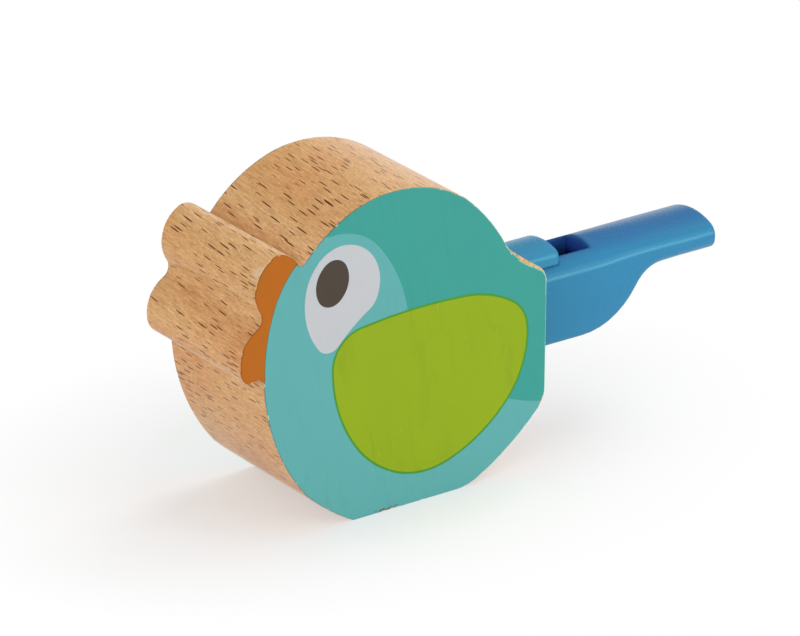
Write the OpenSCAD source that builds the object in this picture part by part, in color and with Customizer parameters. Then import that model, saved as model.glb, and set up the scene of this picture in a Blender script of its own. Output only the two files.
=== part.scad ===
// Wooden toy bird with a plastic slide whistle for a tail.
// Millimetres. The origin is the middle of the flat that the bird rests on.
// X runs to the tail, Y runs through the block away from the front face, Z is up.
// The whistle is drawn pushed in. It slides out along X over the fixed plunger.

/* [Bird] */
// Height of the wooden bird above its base
body_h = 73.6; // [73.5:0.1:76]
// Thickness of the wooden block
body_t = 35; // [28:0.5:45]
// Thickness of the printed colour on the two faces
print_t = 0.15; // [0.1:0.05:0.3]
// Bare rim between the edge of the wood and the print, at the widest place
rim_w = 0.3; // [0.1:0.05:0.6]
// Width of the darker line round the wing
wing_line_w = 0.5; // [0.3:0.05:0.8]
// Half of the long axis of the pupil
pupil_a = 5.3; // [4.8:0.1:5.6]
// Half of the short axis of the pupil
pupil_b = 4.2; // [3.9:0.1:4.5]
// Radius at the two ends of the pupil
pupil_end_r = 3.6; // [3.5:0.1:3.8]
// Lean of the pupil from upright, in degrees
pupil_lean = 12.6; // [0:0.1:20]

/* [Whistle outside] */
// Width of the whistle
whistle_w = 15.8; // [15:0.1:18]
// Height of the deep part, without the raised deck
whistle_h = 20.1; // [19.8:0.1:20.4]
// Height of the whistle's underside above the base
whistle_z = 22.4; // [22:0.1:22.6]
// Radius of the vaulted top over the deep part
vault_r = 9.2; // [9:0.1:12]
// Radius of the vaulted top over the mouthpiece
mouth_vault_r = 16; // [13:0.5:20]
// Radius of the shoulders between the vault and the sides
shoulder_r = 2.8; // [2.4:0.1:3.2]
// Radius of the lower edges of the deep part
keel_edge_r = 0.8; // [0.4:0.1:1.2]
// Width of the raised deck
deck_w = 11.8; // [11:0.1:12.2]
// Height of the deck above the vault
deck_rise = 1.7; // [1.4:0.1:2]
// Radius of the deck's vault
deck_r = 15; // [13:0.5:20]
// Radius of the deck's long edges
deck_edge_r = 1.6; // [1:0.1:2]
// Length of the whistle inside the bird
inside_l = 46; // [40:0.5:48]
// Length of the whistle outside the bird
outside_l = 54.1; // [50:0.1:60]
// Distance from the bird's tail to the window
window_gap = 12.2; // [11:0.1:14]
// Length of the window
window_l = 9.6; // [8:0.1:10]
// Width of the window
window_w = 8.6; // [8:0.1:9]
// Length of the flat underside outside the bird
keel_l = 17.7; // [17:0.1:19]
// Radius of the bend where the underside starts to rise
keel_r = 17.5; // [15:0.1:18]
// Radius of the bend where the rise meets the mouthpiece
throat_r = 8.7; // [7:0.1:10]
// Width of the mouthpiece
mouth_w = 16.4; // [16:0.1:18]
// Height of the mouthpiece
mouth_h = 7.3; // [6.8:0.1:8]
// How far the crown of the mouthpiece lies below that of the deep part
mouth_drop = 0.75; // [0.3:0.05:1]
// Radius of the lower edges of the mouthpiece
mouth_edge_r = 2.8; // [1:0.1:3]
// Length of the mouthpiece that keeps one section
mouth_l = 7; // [4:0.5:12]

/* [Whistle inside] */
// Wall at the sides of the shell
side_wall = 1.7; // [1.4:0.1:2]
// Wall under the resonator tube
floor_wall = 1.5; // [1.2:0.1:1.8]
// Wall of the resonator tube
tube_wall = 1; // [0.8:0.1:1.3]
// Height of the lip's edge above the tube
lip_rise = 0.4; // [0.2:0.1:0.6]
// How far the lip reaches under the window
lip_reach = 4.2; // [3:0.1:5]
// How far the lip is hollowed from below
lip_under = 4; // [2:0.1:5]
// Rise of the hollow under the lip
lip_thin = 1.4; // [0.8:0.1:1.8]
// Height of the opening under the window, above the tube's axis
window_cut = 2.8; // [2:0.1:3.5]
// Width of the wind channel
windway_w = 8; // [7:0.1:8.6]
// Height of the wind channel where it meets the window
windway_h = 1.4; // [1:0.1:1.6]
// Height of the wind channel at the mouth
mouth_gap = 2.6; // [2:0.1:3]
// Height of the channel's floor above the window end, at the mouth
mouth_lift = 0.8; // [0.3:0.1:1.2]

/* [Plunger] */
// Travel of the whistle
travel = 30; // [20:0.5:31]
// Diameter of the plunger rod
rod_d = 5; // [4.5:0.1:5.5]
// Depth of the rod in the wood
rod_bury = 14; // [10:0.5:16]
// Length of the plunger head
head_l = 6; // [5.8:0.1:8]
// Thickness of the seal ring
seal_t = 1.5; // [1.2:0.1:1.6]
// Width of the seal's groove
groove_w = 1.9; // [1.8:0.1:2.2]
// Depth of the socket for the rod in the head
socket_l = 2; // [1.5:0.1:2.2]
// Shank diameter of the head's screw
screw_d = 2.5; // [2:0.1:2.8]
// Length of the screw under its head
screw_l = 9; // [7:0.5:12]
// Diameter of the screw's head
screw_head_d = 5; // [4.4:0.1:5.2]
// Height of the screw's head
screw_head_h = 1.7; // [1.4:0.1:1.9]
// Depth of the recess for the screw's head
recess_l = 2; // [2:0.1:2.2]
// Width across the screw's socket
drive_d = 2; // [1.5:0.1:2.4]
// Depth of the screw's socket
drive_l = 1; // [0.8:0.1:1.2]
// Thickness of the collar on the whistle's inner end
collar_t = 3; // [2:0.1:4]
// Length of the collar's spigot in the tube
spigot_l = 4; // [3:0.1:5]
// How far the collar reaches in behind the plunger head, on the radius
catch_w = 0.4; // [0.3:0.05:0.6]
// Thickness of the pad at the end of the mortise
pad_t = 1.5; // [1:0.1:2]

/* [Fits] */
// Play of the whistle in the wood, on each side
slide_gap = 0.3; // [0.2:0.05:0.5]
// Play of the seal in the bore, on the radius
seal_gap = 0.05; // [0.02:0.01:0.1]
// Play of the plunger head in the bore, on the radius
head_gap = 0.3; // [0.3:0.05:0.5]
// Glue and seating play between fixed pieces
fit_gap = 0.05; // [0.02:0.01:0.1]
// Play that is left when the slide meets a stop
stop_gap = 0.1; // [0.05:0.05:0.3]

/* [Hidden] */

// How far cuts run past the faces that they open
overrun = 0.5;
// Facets of a full turn, for large arcs and for small ones
large_turn = 120;
small_turn = 48;

// The outlines are drawn clockwise, as shares of the bird's height, in the XZ plane.
// Each row holds x, z and the radius of the arc to the next row.
// A radius of zero is a straight line, and a radius below zero is a hollow.
tail_share = 0.5035;
wood_shares = [
    [-0.1863, 0.0000, 0.6976],
    [-0.3521, 0.1207, 0.6343],
    [-0.5004, 0.5152, -0.0492],
    [-0.5586, 0.5240, 0.0621],
    [-0.5799, 0.5550, 0.1045],
    [-0.5738, 0.6312, 0.1236],
    [-0.5245, 0.6839, -0.0346],
    [-0.5126, 0.7324, 0.1174],
    [-0.5279, 0.8195, 0.1070],
    [-0.4801, 0.8876, 0.0581],
    [-0.4183, 0.8876, 0.0999],
    [-0.3861, 0.8549, -0.0170],
    [-0.3597, 0.8480, 0.4419],
    [-0.1239, 0.9925, 0.4273],
    [0.2038, 0.9204, 0.6528],
    [0.3533, 0.7398, -0.0885],
    [0.3777, 0.7113, -1.6997],
    [0.4796, 0.6372, 0.0600],
    [tail_share, 0.5888, 0],
    [tail_share, 0.2517, 0.0914],
    [0.4769, 0.1837, 0.8509],
    [0.2685, 0.0235, 0.1913],
    [0.1856, 0.0000, 0]
];
eye_shares = [
    [-0.2065, 0.8718, 0.1361],
    [-0.1031, 0.7782, 0.1370],
    [-0.1084, 0.6839, 0.0672],
    [-0.1347, 0.6534, -0.5196],
    [-0.2408, 0.5662, 0.0463],
    [-0.3114, 0.5694, 0.2372],
    [-0.3587, 0.7406, 0.1701],
    [-0.3153, 0.8367, 0.1161]
];
wing_shares = [
    [-0.2655, 0.4920, 0.1153],
    [-0.1654, 0.6054, 1.8080],
    [0.2031, 0.6165, 0.3749],
    [0.3830, 0.5567, 0.1244],
    [0.4389, 0.4595, 0.3099],
    [0.3610, 0.2359, 0.4681],
    [0.1506, 0.1011, 0.2670],
    [-0.0303, 0.1087, 0.3513],
    [-0.1902, 0.2424, 0.4553]
];
// The darker colour of the back, which runs past the edges of the wood
back_shares = [
    [0.8140, 0.1628, 0],
    [0.4865, 0.2088, 0.5305],
    [0.3617, 0.2498, 0],
    [0.0015, 0.6200, -0.4750],
    [-0.1023, 0.8414, -0.1974],
    [-0.2745, 0.9108, 0],
    [-0.3528, 0.9226, 0],
    [-0.3528, 1.0854, 0],
    [0.8140, 1.0854, 0]
];
// Everything but the beak, which also runs past the edges of the wood
plumage_shares = [
    [-0.8140, 0.5169, 0],
    [-0.4971, 0.5169, 0.5761],
    [-0.4620, 0.7379, 0.3076],
    [-0.3852, 0.8543, 0],
    [-0.3852, 1.0854, 0],
    [0.8140, 1.0854, 0],
    [0.8140, -0.1357, 0],
    [-0.8140, -0.1357, 0]
];
// Middle of the pupil
pupil_share = [-0.2639, 0.7647];
// How far a round segment reaches over its line
join_share = 0.1;

// Arcs above this radius get the finer facets
large_r = 15;

// Steps of the shell: in its corners, over its crown, along each bend and along the mouthpiece
corner_steps = 5;
crown_steps = 10;
bend_steps = 7;
mouth_steps = 3;

// Where things are along X
tail_x = body_h * tail_share;
inner_x = tail_x - inside_l;
window_x = tail_x + window_gap;
window_end = window_x + window_l;
keel_x = tail_x + keel_l;
tip_x = tail_x + outside_l;
collar_face = inner_x + collar_t;
mortise_end = inner_x - pad_t - stop_gap;
head_x = collar_face + spigot_l + travel + stop_gap;
lip_x = window_x + lip_reach;

// Heights
crown_z = whistle_z + whistle_h;
deck_z = crown_z + deck_rise;
mouth_z = crown_z - mouth_drop - mouth_h;
tube_d = whistle_w - 2 * side_wall;
bore_d = tube_d - 2 * tube_wall;
head_d = bore_d - 2 * head_gap;
collar_hole_d = head_d - 2 * catch_w;
axis_z = whistle_z + floor_wall + tube_d / 2;
tube_top = axis_z + tube_d / 2;
lip_z = tube_top + lip_rise;
// Where the ramp to the lip starts, level with the long edges of the window
ramp_z = crown_z - vault_r + sqrt(pow(vault_r, 2) - pow(window_w / 2, 2));

// The S bend of the underside
bend_angle = acos(1 - (mouth_z - whistle_z) / (keel_r + throat_r));
bend_x = keel_x + keel_r * sin(bend_angle);
throat_x = bend_x + throat_r * sin(bend_angle);

// Outlines made of arcs

function scaled(shares, size) = [for (s = shares) [s[0] * size, s[1] * size, s[2] * size]];

// Middle of the arc from p to q with radius r, on the inner side for a clockwise outline
function arc_middle(p, q, r) =
    let (a = [p[0], p[1]], b = [q[0], q[1]], d = b - a, l = norm(d))
    (a + b) / 2 - sign(r) * [-d[1], d[0]] / l * sqrt(r * r - l * l / 4);

// The same outline, moved inwards by e; each row needs an arc
function inset(points, e) =
    [for (i = [0 : len(points) - 1])
        let (p = points[i],
             q = points[(i + 1) % len(points)],
             c = arc_middle(p, q, p[2]),
             n = ([p[0], p[1]] - c) / p[2])
        [p[0] - e * n[0], p[1] - e * n[1], p[2] - e]];

// Points along the arc from p to q, without q
function arc_points(p, q, r) =
    r == 0 ? [[p[0], p[1]]] :
    let (c = arc_middle(p, q, r),
         a = [p[0], p[1]] - c,
         b = [q[0], q[1]] - c,
         sweep = acos(a * b / (r * r)),
         steps = ceil(sweep / 360 * (abs(r) > large_r ? large_turn : small_turn)),
         start = atan2(a[1], a[0]))
    [for (i = [0 : steps - 1])
        c + abs(r) * [cos(start - sign(r) * sweep * i / steps),
                      sin(start - sign(r) * sweep * i / steps)]];

// An outline on the bird, with its arcs as points along them
module outline(points) {
    count = len(points);
    round = [for (i = [0 : count - 1])
        each arc_points(points[i], points[(i + 1) % count], points[i][2])];
    polygon([for (i = [len(round) - 1 : -1 : 0]) round[i]]);
}

// The round segment on the outer side of the line from p to q. It also reaches a little over
// the line, by a share of its length, so that it joins what lies there.
module arc_cap(p, q, r) {
    a = [p[0], p[1]];
    b = [q[0], q[1]];
    d = b - a;
    n = [-d[1], d[0]];
    up = n / norm(d) * r;
    intersection() {
        translate(arc_middle(p, q, r))
            circle(r = r, $fn = r > large_r ? large_turn : small_turn);
        polygon([a, (a + b) / 2 - n * join_share, b, b + up, a + up]);
    }
}

// An outline on the whistle, with true arcs
module arc_outline(points) {
    count = len(points);
    union() {
        polygon([for (i = [count - 1 : -1 : 0]) [points[i][0], points[i][1]]]);
        for (i = [0 : count - 1])
            if (points[i][2] > 0)
                arc_cap(points[i], points[(i + 1) % count], points[i][2]);
    }
}

// A section with a vaulted top, rounded shoulders and rounded lower edges
function vault_points(w, low, high, top_r, side_r, low_r) =
    let (side = w / 2,
         mid = high - top_r,
         in = side - side_r,
         rise = sqrt((top_r - side_r) * (top_r - side_r) - in * in),
         grow = top_r / (top_r - side_r))
    [[-side, low + low_r, 0],
     [-side, mid + rise, side_r],
     [-in * grow, mid + rise * grow, top_r],
     [in * grow, mid + rise * grow, side_r],
     [side, mid + rise, 0],
     [side, low + low_r, low_r],
     [side - low_r, low, 0],
     [-side + low_r, low, low_r]];

// An oval with its long axis upright, round the origin
function oval_points(a, b, end_r) =
    let (big_r = (pow(a - end_r, 2) + b * b - end_r * end_r) / (2 * (b - end_r)),
         turn = atan2(a - end_r, big_r - b),
         x = end_r * cos(turn),
         z = a - end_r + end_r * sin(turn))
    [[-x, -z, big_r], [-x, z, end_r], [x, z, big_r], [x, -z, end_r]];

// How far the shell has gone over from its deep section to that of the mouthpiece
function mouth_share(x) =
    let (t = min(max((x - window_end) / (tip_x - mouth_l - window_end), 0), 1))
    t * t * (3 - 2 * t);

function between(a, b, x) = a + (b - a) * mouth_share(x);

// Height of the shell's underside
function under_z(x) =
    x <= keel_x ? whistle_z :
    x <= bend_x ? whistle_z + keel_r - sqrt(pow(keel_r, 2) - pow(x - keel_x, 2)) :
    x < throat_x ? mouth_z - throat_r + sqrt(pow(throat_r, 2) - pow(throat_x - x, 2)) :
    mouth_z;

// Points of an arc round (y, z), at station x, from one angle to another
function arc_at(x, y, z, r, from, to, steps) =
    [for (i = [0 : steps])
        let (turn = from + (to - from) * i / steps)
        [x, y + r * cos(turn), z + r * sin(turn)]];

// The shell's section at station x, from under one side over the crown to under the other
function shell_ring(x) =
    let (side = between(whistle_w, mouth_w, x) / 2,
         low = under_z(x),
         high = crown_z - mouth_drop * mouth_share(x),
         top_r = between(vault_r, mouth_vault_r, x),
         low_r = between(keel_edge_r, mouth_edge_r, x),
         in = side - shoulder_r,
         rise = sqrt(pow(top_r - shoulder_r, 2) - in * in),
         lean = atan2(rise, in))
    concat(
        arc_at(x, side - low_r, low + low_r, low_r, -90, 0, corner_steps),
        arc_at(x, in, high - top_r + rise, shoulder_r, 0, lean, corner_steps),
        arc_at(x, 0, high - top_r, top_r, lean + (90 - lean) * 2 / crown_steps,
            180 - lean - (90 - lean) * 2 / crown_steps, crown_steps - 2),
        arc_at(x, -in, high - top_r + rise, shoulder_r, 180 - lean, 180, corner_steps),
        arc_at(x, -side + low_r, low + low_r, low_r, 180, 270, corner_steps));

// How sketches stand in the part

// A sketch of Y and Z, drawn out along X
module along_x(from, to) {
    translate([from, 0, 0])
        rotate([90, 0, 90])
            linear_extrude(height = to - from)
                children();
}

// A sketch of X and Z, drawn out along Y
module across_y(from, to) {
    translate([0, to, 0])
        rotate([90, 0, 0])
            linear_extrude(height = to - from)
                children();
}

// A rod along X on the whistle's bore
module rod_x(from, to, d) {
    translate([from, 0, axis_z])
        rotate([0, 90, 0])
            cylinder(h = to - from, d = d, $fn = small_turn);
}

// The bird

module wood_outline() {
    outline(scaled(wood_shares, body_h));
}

module whistle_section(play) {
    union() {
        arc_outline(vault_points(whistle_w + 2 * play, whistle_z - play, crown_z + play,
            vault_r + play, shoulder_r + play, keel_edge_r + play));
        arc_outline(vault_points(deck_w + 2 * play, axis_z, deck_z + play,
            deck_r + play, deck_edge_r + play, keel_edge_r));
    }
}

module bird_block() {
    color("burlywood")
        difference() {
            across_y(-body_t / 2, body_t / 2)
                wood_outline();
            along_x(mortise_end, tail_x + overrun)
                whistle_section(slide_gap);
            rod_x(mortise_end - rod_bury, mortise_end + overrun, rod_d + 2 * fit_gap);
        }
}

// The print on the two faces

// The bird's outline once more, a little smaller
module print_outline() {
    translate([0, rim_w])
        outline(scaled(wood_shares, body_h - 2 * rim_w));
}

module eye_outline() {
    outline(scaled(eye_shares, body_h));
}

module pupil_outline() {
    translate([pupil_share[0] * body_h, pupil_share[1] * body_h])
        rotate(-pupil_lean)
            outline(oval_points(pupil_a, pupil_b, pupil_end_r));
}

module wing_outline() {
    outline(scaled(wing_shares, body_h));
}

module wing_inner_outline() {
    outline(inset(scaled(wing_shares, body_h), wing_line_w));
}

module plumage_outline() {
    difference() {
        intersection() {
            print_outline();
            outline(scaled(plumage_shares, body_h));
        }
        eye_outline();
        wing_outline();
    }
}

module face_sketch() {
    difference() {
        plumage_outline();
        outline(scaled(back_shares, body_h));
    }
}

module back_sketch() {
    intersection() {
        plumage_outline();
        outline(scaled(back_shares, body_h));
    }
}

module beak_sketch() {
    difference() {
        print_outline();
        outline(scaled(plumage_shares, body_h));
    }
}

module eye_sketch() {
    difference() {
        eye_outline();
        pupil_outline();
    }
}

module wing_line_sketch() {
    difference() {
        wing_outline();
        wing_inner_outline();
    }
}

module front_film() {
    across_y(-body_t / 2 - print_t, -body_t / 2)
        children();
}

module rear_film() {
    across_y(body_t / 2, body_t / 2 + print_t)
        children();
}

module front_face_print() {
    color("mediumturquoise") front_film() face_sketch();
}

module rear_face_print() {
    color("mediumturquoise") rear_film() face_sketch();
}

module front_back_print() {
    color("lightseagreen") front_film() back_sketch();
}

module rear_back_print() {
    color("lightseagreen") rear_film() back_sketch();
}

module front_eye_print() {
    color("gainsboro") front_film() eye_sketch();
}

module rear_eye_print() {
    color("gainsboro") rear_film() eye_sketch();
}

module front_pupil_print() {
    color("dimgray") front_film() pupil_outline();
}

module rear_pupil_print() {
    color("dimgray") rear_film() pupil_outline();
}

module front_wing_print() {
    color("yellowgreen") front_film() wing_inner_outline();
}

module rear_wing_print() {
    color("yellowgreen") rear_film() wing_inner_outline();
}

module front_wing_line() {
    color("olivedrab") front_film() wing_line_sketch();
}

module rear_wing_line() {
    color("olivedrab") rear_film() wing_line_sketch();
}

module front_beak_print() {
    color("peru") front_film() beak_sketch();
}

module rear_beak_print() {
    color("peru") rear_film() beak_sketch();
}

// The plunger, which stays with the bird

module plunger_rod() {
    rod_end = head_x + socket_l - fit_gap;
    color("whitesmoke")
        difference() {
            rod_x(mortise_end - rod_bury + fit_gap, rod_end, rod_d);
            rod_x(rod_end - screw_l, rod_end + overrun, screw_d + 2 * fit_gap);
        }
}

module plunger_head() {
    groove_x = head_x + head_l / 2 - groove_w / 2;
    color("ivory")
        difference() {
            rod_x(head_x, head_x + head_l, head_d);
            rod_x(head_x - overrun, head_x + socket_l, rod_d + 2 * fit_gap);
            rod_x(head_x, head_x + head_l, screw_d + 2 * fit_gap);
            rod_x(head_x + head_l - recess_l, head_x + head_l + overrun,
                screw_head_d + 2 * fit_gap);
            difference() {
                rod_x(groove_x, groove_x + groove_w, head_d + overrun);
                rod_x(groove_x, groove_x + groove_w,
                    bore_d - 2 * seal_gap - 2 * seal_t - 2 * fit_gap);
            }
        }
}

// A square ring with chamfered outer edges
module plunger_seal() {
    outer = bore_d / 2 - seal_gap;
    half = seal_t / 2;
    chamfer = seal_t / 4;
    color("dimgray")
        translate([head_x + head_l / 2, 0, axis_z])
            rotate([0, 90, 0])
                rotate_extrude($fn = small_turn)
                    polygon([
                        [outer - seal_t, -half],
                        [outer - chamfer, -half],
                        [outer, -half + chamfer],
                        [outer, half - chamfer],
                        [outer - chamfer, half],
                        [outer - seal_t, half]
                    ]);
}

module head_screw() {
    seat_x = head_x + head_l - recess_l;
    color("silver")
        difference() {
            union() {
                rod_x(seat_x, seat_x + screw_head_h, screw_head_d);
                rod_x(seat_x - screw_l + fit_gap, seat_x + fit_gap, screw_d);
            }
            rod_x(seat_x + screw_head_h - drive_l, seat_x + screw_head_h + overrun, drive_d);
        }
}

module mortise_pad() {
    color("gray")
        difference() {
            along_x(mortise_end, mortise_end + pad_t)
                whistle_section(slide_gap - fit_gap);
            rod_x(mortise_end - overrun, mortise_end + pad_t + overrun, rod_d + 2 * fit_gap);
        }
}

// The whistle, which slides

// Stations of the shell's sections, close together along the two bends
function shell_stations() =
    concat([collar_face],
        [for (i = [0 : bend_steps]) keel_x + keel_r * sin(bend_angle * i / bend_steps)],
        [for (i = [bend_steps - 1 : -1 : 0])
            throat_x - throat_r * sin(bend_angle * i / bend_steps)],
        [for (i = [1 : mouth_steps]) throat_x + (tip_x - throat_x) * i / mouth_steps]);

module shell_solid() {
    stations = shell_stations();
    rings = [for (x = stations) shell_ring(x)];
    count = len(rings[0]);
    last = len(rings) - 1;
    points = [for (r = rings) each r];
    walls = [for (i = [0 : last - 1], j = [0 : count - 1])
        let (k = (j + 1) % count)
        each [[i * count + j, (i + 1) * count + j, (i + 1) * count + k],
              [i * count + j, (i + 1) * count + k, i * count + k]]];
    inner_end = [for (j = [0 : count - 1]) j];
    mouth_end = [for (j = [count - 1 : -1 : 0]) last * count + j];
    polyhedron(points = points, faces = concat(walls, [inner_end, mouth_end]));
}

module windway() {
    across_y(-windway_w / 2, windway_w / 2)
        polygon([
            [window_end - overrun, tube_top],
            [tip_x, tube_top + mouth_lift],
            [tip_x + overrun, tube_top + mouth_lift],
            [tip_x + overrun, tube_top + mouth_lift + mouth_gap],
            [tip_x, tube_top + mouth_lift + mouth_gap],
            [window_end - overrun, tube_top + windway_h]
        ]);
}

module tail_shell() {
    color("steelblue")
        difference() {
            shell_solid();
            rod_x(collar_face - overrun, window_end, tube_d);
            along_x(collar_face - overrun, window_x + fit_gap)
                translate([-deck_w / 2, axis_z])
                    square([deck_w, deck_z - axis_z]);
            along_x(window_x - overrun, window_end)
                translate([-window_w / 2, axis_z])
                    square([window_w, deck_z - axis_z]);
            windway();
        }
}

// What is taken from the tube under and past the lip
module lip_cut() {
    across_y(-window_w / 2, window_w / 2)
        polygon([
            [lip_x - lip_under, axis_z + window_cut],
            [window_end + overrun, axis_z + window_cut],
            [window_end + overrun, lip_z],
            [lip_x, lip_z],
            [lip_x - lip_under, lip_z - lip_thin]
        ]);
}

module resonator_tube() {
    color("cornflowerblue")
        difference() {
            union() {
                rod_x(collar_face, window_end, tube_d - 2 * fit_gap);
                along_x(collar_face, window_x)
                    arc_outline(vault_points(deck_w - 2 * fit_gap, axis_z, deck_z,
                        deck_r, deck_edge_r, keel_edge_r));
                across_y(-window_w / 2 + fit_gap, window_w / 2 - fit_gap)
                    polygon([
                        [window_x - overrun, axis_z],
                        [window_x - overrun, ramp_z],
                        [window_x, ramp_z],
                        [lip_x, lip_z],
                        [lip_x, axis_z]
                    ]);
            }
            rod_x(collar_face - overrun, window_end + overrun, bore_d);
            lip_cut();
        }
}

module snap_collar() {
    color("slateblue")
        difference() {
            union() {
                along_x(inner_x, collar_face - fit_gap)
                    whistle_section(0);
                rod_x(inner_x, collar_face + spigot_l, bore_d - 2 * fit_gap);
            }
            rod_x(inner_x - overrun, collar_face + spigot_l + overrun, collar_hole_d);
        }
}

bird_block();
front_face_print();
front_back_print();
front_eye_print();
front_pupil_print();
front_wing_print();
front_wing_line();
front_beak_print();
rear_face_print();
rear_back_print();
rear_eye_print();
rear_pupil_print();
rear_wing_print();
rear_wing_line();
rear_beak_print();
plunger_rod();
plunger_head();
plunger_seal();
head_screw();
mortise_pad();
tail_shell();
resonator_tube();
snap_collar();
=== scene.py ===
import math

import bmesh
import bpy
from mathutils import Matrix, Vector, geometry, noise


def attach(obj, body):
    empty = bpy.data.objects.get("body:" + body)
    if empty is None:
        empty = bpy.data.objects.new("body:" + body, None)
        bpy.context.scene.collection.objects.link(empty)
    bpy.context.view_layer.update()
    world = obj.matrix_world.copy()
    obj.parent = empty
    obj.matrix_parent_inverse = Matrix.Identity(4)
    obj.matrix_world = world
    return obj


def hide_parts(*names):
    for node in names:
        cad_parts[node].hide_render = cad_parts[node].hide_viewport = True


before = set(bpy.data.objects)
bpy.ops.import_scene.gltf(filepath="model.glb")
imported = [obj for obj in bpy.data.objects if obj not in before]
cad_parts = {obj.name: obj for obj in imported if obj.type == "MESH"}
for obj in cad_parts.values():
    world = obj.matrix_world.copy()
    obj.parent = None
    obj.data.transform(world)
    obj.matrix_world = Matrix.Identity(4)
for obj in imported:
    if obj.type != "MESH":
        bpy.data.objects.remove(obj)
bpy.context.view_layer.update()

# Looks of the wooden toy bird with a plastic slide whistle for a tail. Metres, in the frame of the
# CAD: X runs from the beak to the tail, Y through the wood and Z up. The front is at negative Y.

scene = bpy.context.scene
MM = 0.001
WHITE = (1, 1, 1, 1)


# Sizes that the looks share with the CAD, all in mm

# From the middle plane to the face of the wood, and to the face of the ink films
WOOD_FACE, INK_FACE = 17.5, 17.65
# From the middle plane to the top of the rebuilt ink and to its edge, which stands a little higher
INK_TOP, INK_EDGE = 17.64, 17.648
# The middle of the whistle's window along X
WINDOW_X = 53.5
# Points of a CAD solid closer than this, in metres, are one point
WELD = 2e-6


# Camera, fitted to the parallel edges of the photograph: angles in degrees, aim, lens and sensor in
# mm, distance and clipping in metres

VIEW_TURN, VIEW_RISE, VIEW_ROLL = 35.908, 23.315, 0.451
VIEW_AIM = (-1.8, -17.5, 44.10)
VIEW_DISTANCE = 1.2721
LENS, SENSOR = 270, 36
CLIP_START, CLIP_END = 0.01, 50


def new_object(name, data):
    obj = bpy.data.objects.new(name, data)
    scene.collection.objects.link(obj)
    return obj


def make_camera():
    a, e, roll = (math.radians(k) for k in (VIEW_TURN, VIEW_RISE, VIEW_ROLL))
    away = Vector((-math.sin(a) * math.cos(e), -math.cos(a) * math.cos(e), math.sin(e)))
    level = Vector((math.cos(a), -math.sin(a), 0))
    upright = level.cross(-away)
    right = math.cos(roll) * level + math.sin(roll) * upright
    up = -math.sin(roll) * level + math.cos(roll) * upright
    place = Vector(VIEW_AIM) * MM + away * VIEW_DISTANCE
    data = bpy.data.cameras.new("camera")
    data.lens = LENS
    data.sensor_width = SENSOR
    data.clip_start = CLIP_START
    data.clip_end = CLIP_END
    cam = new_object("camera", data)
    cam.matrix_world = Matrix((
        (right.x, up.x, away.x, place.x),
        (right.y, up.y, away.y, place.y),
        (right.z, up.z, away.z, place.z),
        (0, 0, 0, 1)))
    scene.camera = cam


# Colours and shader nodes

def lin(r, g, b):
    """A colour of the screen, 0 to 255, as Blender's linear colour."""
    def one(v):
        v /= 255
        return v / 12.92 if v <= 0.04045 else ((v + 0.055) / 1.055) ** 2.4
    return (one(r), one(g), one(b), 1)


def shade(colour, factor, lift=0.0):
    """The colour times the factor plus the lift, no brighter than white."""
    return tuple(min(1, c * factor + lift) for c in colour[:3]) + (1,)


class Tree:
    """Makes and links the shader nodes of a material or of the world."""

    def __init__(self, owner, output="OutputMaterial", turn=None):
        owner.use_nodes = True
        self.owner = owner
        self.nodes = owner.node_tree.nodes
        self.links = owner.node_tree.links
        self.nodes.clear()
        self.out = self.add(output)
        self.turn = turn

    def add(self, kind, ins=None, **attrs):
        n = self.nodes.new("ShaderNode" + kind)
        for k, v in attrs.items():
            setattr(n, k, v)
        for k, v in (ins or {}).items():
            if isinstance(v, bpy.types.NodeSocket):
                self.links.new(v, n.inputs[k])
            else:
                n.inputs[k].default_value = v
        return n

    def coords(self, sx, sy, sz, move=(0, 0, 0)):
        """The object's coordinates, turned if the tree has a turn, then scaled and moved."""
        c = self.add("TexCoord").outputs["Object"]
        if self.turn is not None:
            c = self.add("Mapping", {"Vector": c, "Rotation": self.turn}).outputs[0]
        ins = {"Vector": c, "Location": move, "Scale": (sx, sy, sz)}
        return self.add("Mapping", ins).outputs[0]

    def place(self):
        """The object's x, y and z at each point, in metres."""
        return self.add("SeparateXYZ", {0: self.add("TexCoord").outputs["Object"]}).outputs

    def noise(self, vec, detail=2.0, rough=0.5):
        ins = {"Vector": vec, "Scale": 1.0, "Detail": detail, "Roughness": rough}
        return self.add("TexNoise", ins).outputs[0]

    def cells(self, vec, scatter=1.0):
        """How far it is to the nearest of the points scattered one to each unit of vec."""
        ins = {"Vector": vec, "Scale": 1.0, "Randomness": scatter}
        return self.add("TexVoronoi", ins, voronoi_dimensions="3D", feature="F1",
                        distance="EUCLIDEAN").outputs["Distance"]

    def ramp(self, fac, stops):
        n = self.add("ValToRGB", {"Fac": fac})
        while len(n.color_ramp.elements) < len(stops):
            n.color_ramp.elements.new(0.5)
        for el, (pos, col) in zip(n.color_ramp.elements, stops):
            el.position = pos
            el.color = col
        return n.outputs[0]

    def range(self, v, a, b, c, d):
        """v stretched so that a to b becomes c to d."""
        return self.add("MapRange", {0: v, 1: a, 2: b, 3: c, 4: d}).outputs[0]

    def math(self, op, a, b=0.0):
        return self.add("Math", {0: a, 1: b}, operation=op).outputs[0]

    def mix(self, fac, a, b, blend="MIX"):
        ins = {0: fac, 6: a, 7: b}
        return self.add("Mix", ins, data_type="RGBA", blend_type=blend).outputs[2]

    def tinted(self, fac, base, tint):
        """base, multiplied by the tint as far as fac says."""
        return self.mix(fac, base, self.mix(1.0, base, tint, "MULTIPLY"))

    def bump(self, height, strength, distance, normal=None):
        ins = {"Height": height, "Strength": strength, "Distance": distance}
        if normal is not None:
            ins["Normal"] = normal
        return self.add("Bump", ins).outputs[0]

    def surface(self, node):
        self.links.new(node.outputs[0], self.out.inputs["Surface"])
        return self.owner

    def finish(self, ins):
        return self.surface(self.add("BsdfPrincipled", ins))


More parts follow.
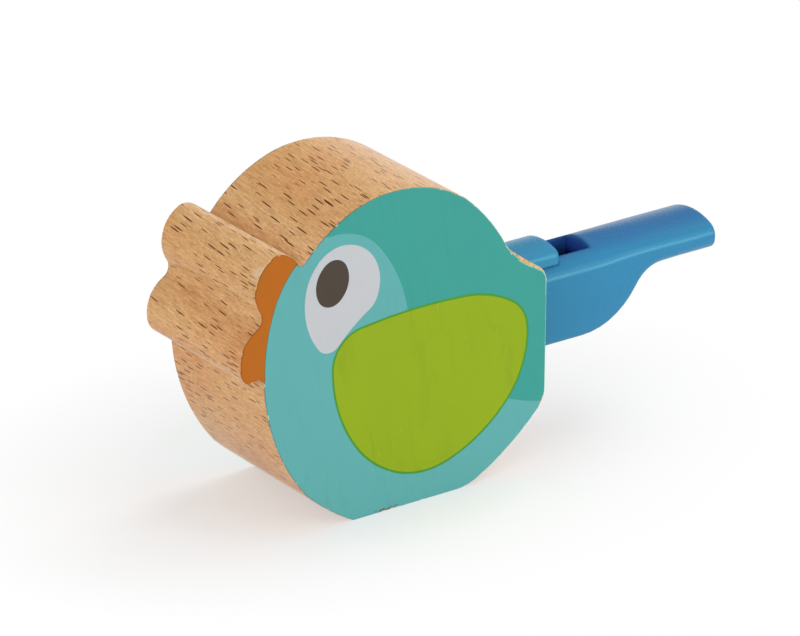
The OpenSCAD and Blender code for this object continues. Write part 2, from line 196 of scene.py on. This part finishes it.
def material_tree(name, turn=None):
    return Tree(bpy.data.materials.new(name), turn=turn)


# Wood

WOOD_DEEP = lin(226, 171, 109)
WOOD_MID = lin(235, 186, 129)
WOOD_PALE = lin(242, 200, 148)
WOOD_RED = lin(224, 146, 88)
FLECK = lin(98, 38, 4)
STREAK = lin(152, 90, 40)
WORN = lin(236, 208, 176)
RUN_INK = lin(170, 112, 74)
# What the hollows between the fibres, and the light and dark grit, multiply the colour by
FIBRE_TINT = (0.78, 0.71, 0.62, 1)
GRIT_LIGHT = (1.16, 1.22, 1.30, 1)
GRIT_DARK = (0.90, 0.80, 0.68, 1)
# The turn that brings the grain onto Y: it runs 4 degrees towards +X and 3 degrees towards +Z
GRAIN = (-0.05, 0, 0.07)
# One fleck or streak lies in each cell of this size in mm, across the grain and along it
FLECK_CELL = (0.66, 9.2)
STREAK_CELL = (0.27, 7.5)
# Half the length of a fleck from the smallest to the largest, as a share of its cell
FLECK_SIZE = (0.215, 0.25)
# The middle of the pale patch rubbed into the wood beside the upper beak
RUBBED = (-38.9 * MM, -16.8 * MM, 63.3 * MM)


def grain_cells(t, cell, move, scatter):
    """Tree.cells along the grain, for a cell's size in mm across the grain and along it."""
    across, along = (1 / (k * MM) for k in cell)
    return t.cells(t.coords(across, along, across, move), scatter)


def worn_edges(t, base):
    """Both edges of the wood: rubbed pale in patches, with a thin darker line of run ink."""
    off = t.math("ABSOLUTE", t.place()[1])
    patch = t.noise(t.coords(210, 120, 210, (4, 8, 2)), detail=3, rough=0.65)
    near = t.range(off, 16.1 * MM, 17.2 * MM, 0, 1)
    worn = t.math("MULTIPLY", near, t.range(patch, 0.62, 0.72, 0, 0.6))
    here = t.add("TexCoord").outputs["Object"]
    gap = t.add("VectorMath", {0: here, 1: RUBBED}, operation="DISTANCE").outputs["Value"]
    spot = t.range(gap, 0.7 * MM, 2.6 * MM, 0.85, 0)
    spot = t.math("MULTIPLY", spot, t.range(patch, 0.35, 0.6, 0.5, 1))
    base = t.mix(t.math("MAXIMUM", worn, spot), base, WORN)
    line = t.range(off, 17.15 * MM, 17.4 * MM, 0, 1)
    run = t.math("MULTIPLY", line, t.range(patch, 0.40, 0.50, 0.55, 0))
    return t.mix(run, base, RUN_INK)


def wood_material():
    """Beech with the grain nearly along Y: ray flecks, fine streaks and a mottled ground."""
    t = material_tree("beech", GRAIN)
    wide = t.noise(t.coords(55, 9, 55), detail=2, rough=0.5)
    fine = t.noise(t.coords(2200, 210, 2200, (3, 1, 2)), detail=3, rough=0.65)
    grit = t.noise(t.coords(2700, 1200, 2700), detail=2, rough=0.7)
    red = t.noise(t.coords(42, 16, 42, (5, 3, 1)), detail=2, rough=0.55)
    base = t.ramp(wide, [(0.3, WOOD_DEEP), (0.5, WOOD_MID), (0.72, WOOD_PALE)])
    base = t.mix(t.range(red, 0.5, 0.68, 0, 0.55), base, WOOD_RED)
    base = t.tinted(t.range(fine, 0.36, 0.64, 1, 0), base, FIBRE_TINT)
    base = t.tinted(t.range(grit, 0.48, 0.68, 0, 0.8), base, GRIT_LIGHT)
    base = t.tinted(t.range(grit, 0.34, 0.50, 0.55, 0), base, GRIT_DARK)
    # Ray flecks: ellipsoids fourteen times as long along the grain as they are wide
    warp = t.noise(t.coords(160, 60, 160, (7, 7, 7)), detail=1)
    size = t.range(warp, 0.36, 0.62, *FLECK_SIZE)
    dist = t.math("DIVIDE", grain_cells(t, FLECK_CELL, (0, 0, 0), 0.75), size)
    fleck = t.range(dist, 0.82, 1.0, 1, 0)
    base = t.mix(fleck, base, FLECK)
    # Fine streaks
    streak = t.range(grain_cells(t, STREAK_CELL, (9, 4, 6), 1.0), 0.13, 0.24, 1, 0)
    base = t.mix(t.math("MULTIPLY", streak, 0.7), base, STREAK)
    base = worn_edges(t, base)
    h = t.math("SUBTRACT", t.math("MULTIPLY", fine, 0.5), t.math("MULTIPLY", fleck, 0.6))
    return t.finish({"Base Color": base, "Roughness": 0.40, "Specular IOR Level": 0.20,
                     "Sheen Weight": 0.36, "Sheen Roughness": 0.30,
                     "Sheen Tint": (1.0, 0.97, 0.92, 1), "Normal": t.bump(h, 0.35, 0.00006)})


# Inks

# Painted shade in the chipped ink on the base's edge: its middle and half length along X, and its
# height, in mm
CHIP_SHADE_X, CHIP_SHADE_HALF, CHIP_SHADE_HIGH = -4.6, 3.0, 0.5
# The colour of that painted shade
CHIP_SHADE_COLOUR = lin(78, 66, 66)
# The ends of the bird along X, in mm, between which the rim's colour changes
RIM_LEFT, RIM_RIGHT = -20, 33


def chip_shaded(t, col):
    """The colour with painted shade in the chipped ink on the lower edge of the face."""
    place = t.place()
    low = t.range(place[2], CHIP_SHADE_HIGH * MM, (CHIP_SHADE_HIGH + 0.4) * MM, 1, 0)
    off = t.math("ABSOLUTE", t.math("ADD", place[0], -CHIP_SHADE_X * MM))
    here = t.range(off, CHIP_SHADE_HALF * MM, (CHIP_SHADE_HALF + 0.8) * MM, 1, 0)
    rough = t.range(t.noise(t.coords(900, 900, 1600, (1, 1, 5)), detail=2), 0.50, 0.56, 0, 0.9)
    mask = t.math("MULTIPLY", t.math("MULTIPLY", low, here), rough)
    return t.mix(mask, col, CHIP_SHADE_COLOUR)


def ink_material(name, rgb, rings=0.05, specks=0.4, chip_shade=False):
    """Matt ink on end grain: faint wavy ring lines, tiny specks and a soft unevenness."""
    t = material_tree(name)
    base = lin(*rgb)
    wave = t.add("TexWave", {"Vector": t.coords(1, 1, 0.30), "Scale": 95.0, "Distortion": 9.0,
                             "Detail": 3.0, "Detail Scale": 1.6, "Detail Roughness": 0.6},
                 wave_type="BANDS", bands_direction="DIAGONAL", wave_profile="SIN").outputs["Fac"]
    broken = t.range(t.noise(t.coords(120, 120, 45, (3, 3, 3)), detail=2), 0.42, 0.62, 0, 1)
    line = t.math("MULTIPLY", t.range(wave, 0.72, 1.0, 0, 0.5), broken)
    col = t.mix(line, base, shade(base, 1 - 2.2 * rings))
    soft = t.noise(t.coords(60, 60, 26), detail=3)
    pale = shade(base, 1 + 0.8 * rings)
    col = t.mix(t.range(soft, 0.35, 0.75, 0, 1), col, t.mix(0.5, col, pale))
    # Dark specks
    some = t.range(t.noise(t.coords(110, 110, 110, (2, 5, 1)), detail=1), 0.60, 0.68, 0, specks)
    speck = t.range(t.cells(t.coords(330, 330, 330)), 0.03, 0.07, 1, 0)
    col = t.mix(t.math("MULTIPLY", speck, some), col, shade(base, 0.35))
    # Short light scratches
    some = t.range(t.noise(t.coords(95, 95, 95, (6, 1, 4)), detail=1), 0.62, 0.68, 0, 0.45)
    cut = t.range(t.cells(t.coords(900, 900, 160, (1, 6, 2))), 0.08, 0.14, 1, 0)
    col = t.mix(t.math("MULTIPLY", cut, some), col, shade(base, 1.25, 0.05))
    # Painted shade in the chipped ink at the lower edge
    if chip_shade:
        col = chip_shaded(t, col)
    grain = t.noise(t.coords(1700, 1700, 900), detail=3, rough=0.65)
    h = t.math("ADD", t.math("MULTIPLY", grain, 0.6), t.math("MULTIPLY", line, -0.25))
    return t.finish({"Base Color": col, "Roughness": 0.55, "Specular IOR Level": 0.18,
                     "Normal": t.bump(h, 0.25, 0.00004)})


def rim_material(name, left, right, chip, chips):
    """The broken edge of the ink: its colour runs from left to right, with bare chips."""
    t = material_tree(name)
    along = t.range(t.place()[0], RIM_LEFT * MM, RIM_RIGHT * MM, 0, 1)
    col = t.mix(along, lin(*left), lin(*right))
    patch = t.noise(t.coords(700, 700, 700, (2, 1, 7)), detail=2, rough=0.6)
    low = 0.66 - 0.22 * chips
    col = t.mix(t.range(patch, low, low + 0.05, 0, 0.9), col, lin(*chip))
    grain = t.noise(t.coords(2600, 2600, 2600), detail=2)
    col = t.tinted(t.range(grain, 0.4, 0.7, 0, 0.25), col, (0.7, 0.7, 0.7, 1))
    return t.finish({"Base Color": col, "Roughness": 0.6, "Specular IOR Level": 0.15,
                     "Normal": t.bump(grain, 0.2, 0.00003)})


# Plastics and the rest

# What the blue plastic's highlights are tinted by
CYAN = (0.40, 1.0, 0.90, 1)
# Painted shade down inside the window: the height in mm where each colour starts and where it is at
# its most, how strong it is there, and the colour
WINDOW_PAINTED_SHADE = [(42.6, 40.6, 0.95, lin(48, 82, 178)), (39.8, 36.6, 0.97, lin(10, 6, 44))]
# Half the window across and along, in mm, and where its painted shade has faded out
WINDOW_ACROSS, WINDOW_ALONG = (4.25, 4.4), (5.6, 6.2)
# The radius, in mm, over which the whistle's edges look soft
SOFT_EDGE = 1.2


def whistle_painted_shade(t, col, crown, crown_shade):
    """The colour darkened by painted shade along the top of the crown, at that height in mm, and by
    painted shade deeper in the window.
    """
    place = t.place()
    # Painted shade: the top of the crown darkened
    high = t.range(place[2], (crown - 2.0) * MM, (crown - 0.6) * MM, 0, 1)
    col = t.tinted(high, col, crown_shade)
    inside, gone = WINDOW_ACROSS
    across = t.range(t.math("ABSOLUTE", place[1]), inside * MM, gone * MM, 1, 0)
    inside, gone = WINDOW_ALONG
    off = t.math("ABSOLUTE", t.math("SUBTRACT", place[0], WINDOW_X * MM))
    along = t.range(off, inside * MM, gone * MM, 1, 0)
    within = t.math("MULTIPLY", across, along)
    # Painted shade, deeper down inside the window
    for start, full, most, colour in WINDOW_PAINTED_SHADE:
        down = t.range(place[2], start * MM, full * MM, 0, most)
        col = t.mix(t.math("MULTIPLY", down, within), col, colour)
    return col


def plastic_material(name, rgb, roughness=0.27, level=0.14, tint=WHITE, crown=None, crown_shade=WHITE):
    """Moulded plastic with a fine spark-eroded skin and faint flow unevenness."""
    t = material_tree(name)
    base = lin(*rgb)
    flow = t.noise(t.coords(60, 90, 90), detail=2)
    col = t.mix(t.range(flow, 0.3, 0.75, 0, 1), shade(base, 0.93), base)
    normal = None
    if crown is not None:
        # Painted shade on the top of the crown and down inside the window
        col = whistle_painted_shade(t, col, crown, crown_shade)
        normal = t.add("Bevel", {"Radius": SOFT_EDGE * MM}, samples=6).outputs[0]
    skin = t.noise(t.coords(4200, 4200, 4200), detail=2, rough=0.6)
    sink = t.noise(t.coords(120, 120, 120, (1, 2, 3)), detail=1)
    normal = t.bump(sink, 0.12, 0.0002, normal)
    normal = t.bump(skin, 0.14, 0.00003, normal)
    rough = t.range(skin, 0.3, 0.7, roughness - 0.03, roughness + 0.04)
    return t.finish({"Base Color": col, "Roughness": rough, "Specular IOR Level": level,
                     "Specular Tint": tint, "Normal": normal})


def steel_material():
    t = material_tree("zinc_steel")
    brushed = t.noise(t.coords(300, 6000, 6000), detail=3)
    col = t.ramp(brushed, [(0.3, (0.52, 0.52, 0.54, 1)), (0.7, (0.68, 0.68, 0.69, 1))])
    rough = t.range(brushed, 0.3, 0.7, 0.25, 0.4)
    return t.finish({"Base Color": col, "Metallic": 1.0, "Roughness": rough,
                     "Normal": t.bump(brushed, 0.2, 0.00003)})


def felt_material():
    t = material_tree("felt")
    fibre = t.noise(t.coords(2500, 2500, 2500), detail=4, rough=0.7)
    patch = t.noise(t.coords(250, 250, 250), detail=2)
    col = t.ramp(fibre, [(0.3, lin(92, 94, 98)), (0.7, lin(140, 142, 146))])
    col = t.mix(t.range(patch, 0.3, 0.7, 0, 0.3), col, lin(104, 106, 110))
    return t.finish({"Base Color": col, "Roughness": 0.95, "Sheen Weight": 0.4,
                     "Normal": t.bump(fibre, 0.6, 0.0002)})


# Pieces made from the CAD's own solids, with their edges rounded

# Edges sharper than the first angle are rounded, and facets flatter than the second are joined
EASE_ANGLE, JOIN_ANGLE = math.radians(34), math.radians(0.8)
EASE_SEGMENTS = 3
# How wide the rounding of each piece is, in mm
WOOD_EASE, SHELL_EASE, DECK_EASE = 0.15, 0.35, 0.4


def welded(mesh):
    """A working copy of the mesh in which each corner is one point."""
    bm = bmesh.new()
    bm.from_mesh(mesh)
    bmesh.ops.remove_doubles(bm, verts=bm.verts[:], dist=WELD)
    return bm


def eased(node, name, body, material, width):
    """The CAD node's shape as a piece, with its edges rounded by width mm."""
    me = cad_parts[node].data.copy()
    me.name = name
    bm = welded(me)
    bmesh.ops.dissolve_limit(bm, angle_limit=JOIN_ANGLE, verts=bm.verts[:], edges=bm.edges[:])
    bm.to_mesh(me)
    bm.free()
    obj = new_object(name, me)
    me.materials.clear()
    me.materials.append(material)
    for p in me.polygons:
        p.use_smooth = True
    me.set_sharp_from_angle(angle=EASE_ANGLE)
    bevel = obj.modifiers.new("ease", "BEVEL")
    bevel.width = width * MM
    bevel.segments = EASE_SEGMENTS
    bevel.limit_method = "ANGLE"
    bevel.angle_limit = EASE_ANGLE
    bevel.use_clamp_overlap = True
    bevel.harden_normals = True
    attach(obj, body)
    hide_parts(node)


# Outlines, in mm as (x, z)

def pairs(loop):
    """Each point of a closed outline with the next one."""
    return zip(loop, loop[1:] + loop[:1])


def closed_length(loop):
    return sum((q - p).length for p, q in pairs(loop))


def face_loops(node, y):
    """The closed outlines of the flat side of a CAD solid that lies at y mm, the longest first."""
    bm = welded(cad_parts[node].data)
    count = {}
    for f in bm.faces:
        if all(abs(v.co.y - y * MM) < 1e-5 for v in f.verts):
            for e in f.edges:
                count[e] = count.get(e, 0) + 1
    nexts = {}
    for e, n in count.items():
        if n == 1:
            p, q = e.verts
            nexts.setdefault(p.index, []).append(q.index)
            nexts.setdefault(q.index, []).append(p.index)
    bm.verts.ensure_lookup_table()
    loops, seen = [], set()
    for first in nexts:
        if first in seen:
            continue
        loop, here = [first], first
        seen.add(first)
        while True:
            step = [k for k in nexts[here] if k not in seen]
            if not step:
                break
            here = step[0]
            seen.add(here)
            loop.append(here)
        loops.append([Vector((bm.verts[k].co.x, bm.verts[k].co.z)) / MM for k in loop])
    bm.free()
    return sorted(loops, key=closed_length)[::-1]


def cut_fine(loop, step):
    """The same outline with a point at least every step mm."""
    out = []
    for p, q in pairs(loop):
        n = max(1, math.ceil((q - p).length / step))
        out += [p.lerp(q, k / n) for k in range(n)]
    return out


def nearest(p, ring):
    """The nearest point to p on a closed outline, and how far it is."""
    best, far = ring[0], 1e9
    for a, b in pairs(ring):
        d = b - a
        k = max(0.0, min(1.0, (p - a).dot(d) / max(d.length_squared, 1e-12)))
        q = a + d * k
        if (p - q).length_squared < far:
            best, far = q, (p - q).length_squared
    return best, math.sqrt(far)


# The print, rebuilt from the outlines of the CAD's films. All sizes are in mm

# How close to the edge of the wood ink has a ragged edge, and how far apart its points are
RIM_REACH, INK_STEP = 0.34, 0.22
# How wide the edge of the ink shows, and how wide on top of the tail stub
RIM_WIDE, STUB_RIM_WIDE = 0.13, 0.22
# Where the ink of the front has broken away: x along the top of the tail stub and how far in
STUB_CHIP = [(26.9, 0.0), (28.6, 0.28), (29.5, 0.36), (30.3, 0.78), (31.1, 0.85), (32.5, 0.72),
             (33.8, 0.56), (35.4, 0.48), (36.2, 0.18), (37.2, 0.04)]
# Small chips elsewhere on the front: x, z, half length and depth
SMALL_CHIPS = [(-5.9, 0.2, 0.7, 0.22), (-3.4, 0.2, 0.8, 0.28), (-1.3, 0.5, 0.35, 0.2),
               (27.6, 52.3, 0.5, 0.3), (12.2, 69.7, 0.8, 0.2), (18.9, 65.0, 0.6, 0.16),
               (-22.0, 67.5, 0.5, 0.15)]
# Where the noise of the ragged edge is read, in front and behind, and the size of its waves
FRONT_SEED, REAR_SEED = 3.7, 41.3
WAVE_SIZE, FINE_SIZE = 1.1, 0.35
# The wood that shows along the edge: anywhere, at the least, and by wear on the top and elsewhere
BARE, LEAST_BARE = 0.06, 0.03
TOP_WORN, SIDE_WORN = 0.16, 0.05
# The corners, as (x, z), beyond and above which the tail stub and the worn top lie
STUB_FROM, TOP_FROM = (26, 40), (-5, 40)
# The order of the materials on a colour of the print
INK, RIM, SHARED = 0, 1, 2


def beyond(p, corner):
    return p.x > corner[0] and p.y > corner[1]


def bare(q, side):
    """How much wood shows between the edge of the face at q and the ink."""
    seed = FRONT_SEED if side < 0 else REAR_SEED
    wave = noise.noise(Vector((q.x / WAVE_SIZE, q.y / WAVE_SIZE, seed)))
    fine = noise.noise(Vector((q.x / FINE_SIZE, q.y / FINE_SIZE, seed + 5)))
    worn = TOP_WORN if beyond(q, TOP_FROM) else SIDE_WORN
    depth = BARE + worn * max(0.0, wave - 0.2) + 0.02 * fine
    if side < 0:
        for x, z, half, deep in SMALL_CHIPS:
            d = (q - Vector((x, z))).length / half
            if d < 1:
                depth += deep * math.sqrt(1 - d * d) * (1 + 0.5 * fine)
        if q.x > STUB_CHIP[0][0] and q.y > 45.0:
            for (x0, d0), (x1, d1) in zip(STUB_CHIP, STUB_CHIP[1:]):
                if x0 <= q.x <= x1:
                    here = d0 + (d1 - d0) * (q.x - x0) / (x1 - x0)
                    depth += here * (1 + 0.12 * fine + 0.10 * wave)
    return max(LEAST_BARE, depth)


def ragged(loop, ring, side):
    """The outline drawn in from the edge of the wood, and which of its points lie along it."""
    moved, edge = [], []
    for p in cut_fine(loop, INK_STEP):
        q, d = nearest(p, ring)
        at_rim = d < RIM_REACH
        if at_rim:
            p = q + (p - q) * (bare(q, side) / max(d, 1e-6))
        moved.append(p)
        edge.append(at_rim)
    return moved, edge


def inset(loop, outer):
    """The outline moved into the ink by the rim's width. outer is False for a hole's outline."""
    area = sum(p.x * q.y - q.x * p.y for p, q in pairs(loop))
    turn = 1 if (area > 0) == outer else -1
    out = []
    for k, p in enumerate(loop):
        d = loop[(k + 1) % len(loop)] - loop[k - 1]
        d = d.normalized() if d.length > 1e-9 else Vector((1, 0))
        wide = STUB_RIM_WIDE if beyond(p, STUB_FROM) else RIM_WIDE
        out.append(p + Vector((-d.y, d.x)) * turn * wide)
    return out


def printed(side, what, ink, rim, ring, shared=None):
    """One colour of the print, with a ragged edge where it meets the edge of the wood.

    side is -1 in front and 1 behind, and ring is the outline of the wood. shared is the material
    where the edge of this colour lies on another one's, if that is to show.
    """
    node = ("front_" if side < 0 else "rear_") + what
    top, mid, low = side * INK_TOP * MM, side * INK_EDGE * MM, side * WOOD_FACE * MM
    loops = face_loops(node, side * INK_FACE)
    verts, faces, kinds, flats = [], [], [], []
    for loop in loops:
        moved, edge = ragged(loop, ring, side)
        inner = inset(moved, loop is loops[0])
        flats.append(moved)
        n, start = len(moved), len(verts)
        for ps, y in ((moved, mid), (moved, low), (inner, mid)):
            verts += [(p.x * MM, y, p.y * MM) for p in ps]
        for k in range(n):
            m = (k + 1) % n
            faces.append((start + k, start + m, start + n + m, start + n + k))
            kinds.append(RIM if edge[k] else INK)
            if edge[k] or shared is not None:
                faces.append((start + 2 * n + k, start + 2 * n + m, start + m, start + k))
                kinds.append(RIM if edge[k] else SHARED)
    start = len(verts)
    for moved in flats:
        verts += [(p.x * MM, top, p.y * MM) for p in moved]
    for tri in geometry.tessellate_polygon([[Vector((p.x, p.y, 0)) for p in m] for m in flats]):
        faces.append(tuple(start + k for k in tri))
        kinds.append(INK)
    me = bpy.data.meshes.new(node + "_ink")
    me.from_pydata(verts, [], faces)
    me.validate()
    for m in (ink, rim) + ((shared,) if shared is not None else ()):
        me.materials.append(m)
    for p, k in zip(me.polygons, kinds):
        p.material_index = k
    obj = new_object(node + "_ink", me)
    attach(obj, "bird")
    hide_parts(node)


def paint(node, material):
    """A CAD node that keeps its shape gets its material."""
    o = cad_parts[node]
    o.data.materials.clear()
    o.data.materials.append(material)


# Stage and light

# Name, place, size and power of each soft box, and whether gloss shows it
LAMPS = [
    ("softbox_top", (0.95, 0.25, 0.98), 0.95, 6.5, False),
    ("softbox_front", (-1.25, -0.70, 0.66), 0.9, 6.0, True),
    ("softbox_right", (0.76, -1.12, 0.24), 0.34, 5.1, True),
    ("strip_shoulder", (0.76, -0.88, 0.78), 0.22, 1.4, True),
]
# The place that they are turned to
LIT = (0, 0, 0.03)
# The even light from all round
WORLD_LIGHT = 0.56
# The world in reflections: between these two heights of the direction, from this light to that
CEILING = (0.10, 0.36, 1.0, 0.35)
# Half the side of the floor, in metres
FLOOR_HALF = 4.0
# How far from the bird, in metres, the floor that the camera sees starts to turn plain white and
# where it has done so, and how white it is up to the first
FLOOR_NEAR, FLOOR_FAR, FLOOR_GLOW = 0.036, 0.075, 0.43


def make_floor():
    """A pale floor. The camera and reflections see it fade to white away from the bird."""
    s = FLOOR_HALF
    me = bpy.data.meshes.new("floor")
    me.from_pydata([(-s, -s, 0), (s, -s, 0), (s, s, 0), (-s, s, 0)], [], [(0, 1, 2, 3)])
    floor = new_object("floor", me)
    t = material_tree("floor")
    col = t.ramp(t.noise(t.coords(3, 3, 3), detail=2),
                 [(0.3, (0.86, 0.86, 0.86, 1)), (0.7, (0.88, 0.88, 0.88, 1))])
    paler = t.mix(1.0, col, (1.12, 1.12, 1.12, 1), "MULTIPLY")
    plain = t.add("BsdfDiffuse", {"Color": col}).outputs[0]
    pale = t.add("BsdfDiffuse", {"Color": paler}).outputs[0]
    glow = t.add("Emission", {"Color": WHITE, "Strength": 1.0}).outputs[0]
    path = t.add("LightPath").outputs
    seen = t.math("MAXIMUM", path["Is Glossy Ray"], path["Is Transmission Ray"])
    seen = t.math("MAXIMUM", path["Is Camera Ray"], seen)
    centre = t.coords(0.72, 1, 1, (-0.006, -0.01, 0))
    away = t.add("VectorMath", {0: centre}, operation="LENGTH").outputs["Value"]
    share = t.range(away, FLOOR_NEAR, FLOOR_FAR, FLOOR_GLOW, 1.0)
    shown = t.add("MixShader", {0: share, 1: pale, 2: glow}).outputs[0]
    t.surface(t.add("MixShader", {0: seen, 1: plain, 2: shown}))
    me.materials.append(t.owner)


def make_world():
    """Soft light from all round, a white backdrop, and a ceiling that reflections show darker."""
    scene.world = bpy.data.worlds.new("world")
    t = Tree(scene.world, "OutputWorld")
    path = t.add("LightPath").outputs
    height = t.add("SeparateXYZ", {0: t.add("TexCoord").outputs["Generated"]}).outputs[2]

    def background(strength):
        return t.add("Background", {"Color": WHITE, "Strength": strength}).outputs[0]

    soft, white = background(WORLD_LIGHT), background(1.0)
    mirrored = background(t.range(height, *CEILING))
    either = t.math("MAXIMUM", path["Is Glossy Ray"], path["Is Transmission Ray"])
    unseen = t.add("MixShader", {0: either, 1: soft, 2: mirrored}).outputs[0]
    t.surface(t.add("MixShader", {0: path["Is Camera Ray"], 1: unseen, 2: white}))


def make_lamps():
    """The soft boxes, turned to the bird."""
    for name, place, size, power, glossy in LAMPS:
        data = bpy.data.lights.new(name, "AREA")
        data.shape = "DISK"
        data.size = size
        data.energy = power
        obj = new_object(name, data)
        obj.location = place
        obj.rotation_euler = (Vector(LIT) - Vector(place)).to_track_quat("-Z", "Y").to_euler()
        obj.visible_glossy = glossy


def make_bird():
    # The teal ink gets painted shade in its chips on the lower edge
    teal = ink_material("ink_teal", (93, 169, 168), chip_shade=True)
    dark_teal = ink_material("ink_dark_teal", (58, 154, 144), specks=0.6)
    grey = ink_material("ink_grey", (192, 194, 198), rings=0.02, specks=0.2)
    brown = ink_material("ink_brown", (72, 62, 51), rings=0.04, specks=0.2)
    green = ink_material("ink_green", (143, 167, 16), rings=0.09, specks=0.3)
    dark_green = ink_material("ink_dark_green", (70, 146, 44), rings=0.05, specks=0.2)
    orange = ink_material("ink_orange", (180, 99, 11), rings=0.04, specks=0.3)
    teal_rim = rim_material(
        "rim_teal", (84, 146, 158), (132, 200, 188), (210, 226, 208), 0.2)
    dark_teal_rim = rim_material(
        "rim_dark_teal", (66, 128, 112), (138, 204, 188), (226, 222, 198), 0.3)
    orange_rim = rim_material(
        "rim_orange", (160, 82, 16), (176, 98, 30), (230, 196, 150), 0.15)
    overprint = rim_material(
        "overprint", (84, 104, 52), (84, 104, 52), (64, 92, 60), 0.3)
    prints = [
        ("face_print", "print_teal", teal, teal_rim, None),
        ("back_print", "print_dark_teal", dark_teal, dark_teal_rim, None),
        ("eye_print", "print_grey", grey, teal_rim, None),
        ("pupil_print", "print_brown", brown, teal_rim, None),
        ("wing_print", "print_green", green, teal_rim, None),
        ("wing_line", "print_dark_green", dark_green, teal_rim, None),
        ("beak_print", "print_orange", orange, orange_rim, overprint),
    ]
    eased("bird_block", "bird_wood", "bird", wood_material(), WOOD_EASE)
    for side in (-1, 1):
        ring = face_loops("bird_block", side * WOOD_FACE)[0]
        for what, slot, ink, rim, shared in prints:
            printed(side, what, ink, rim, ring, shared)


def make_whistle():
    # The shell's crown is darkened as painted shade, and both pieces get painted shade down in the
    # window
    blue = plastic_material("blue_plastic", (54, 133, 177), level=0.26, tint=CYAN, crown=42.1,
                            crown_shade=(0.80, 0.72, 0.90, 1))
    deck_blue = plastic_material("deck_plastic", (58, 144, 188), level=0.26, tint=CYAN, crown=44.0)
    eased("tail_shell", "whistle_shell", "whistle", blue, SHELL_EASE)
    eased("resonator_tube", "whistle_deck", "whistle", deck_blue, DECK_EASE)
    paint("snap_collar", blue)


def make_plunger():
    paint("plunger_rod", plastic_material("nylon", (228, 226, 216), roughness=0.45))
    paint("plunger_head", plastic_material("head_plastic", (222, 216, 198), roughness=0.5))
    paint("plunger_seal", plastic_material("rubber", (38, 38, 40), roughness=0.7, level=0.3))
    paint("head_screw", steel_material())
    paint("mortise_pad", felt_material())


make_camera()
make_bird()
make_plunger()
make_whistle()
make_floor()
make_world()
make_lamps()
scene.view_settings.view_transform = "Standard"
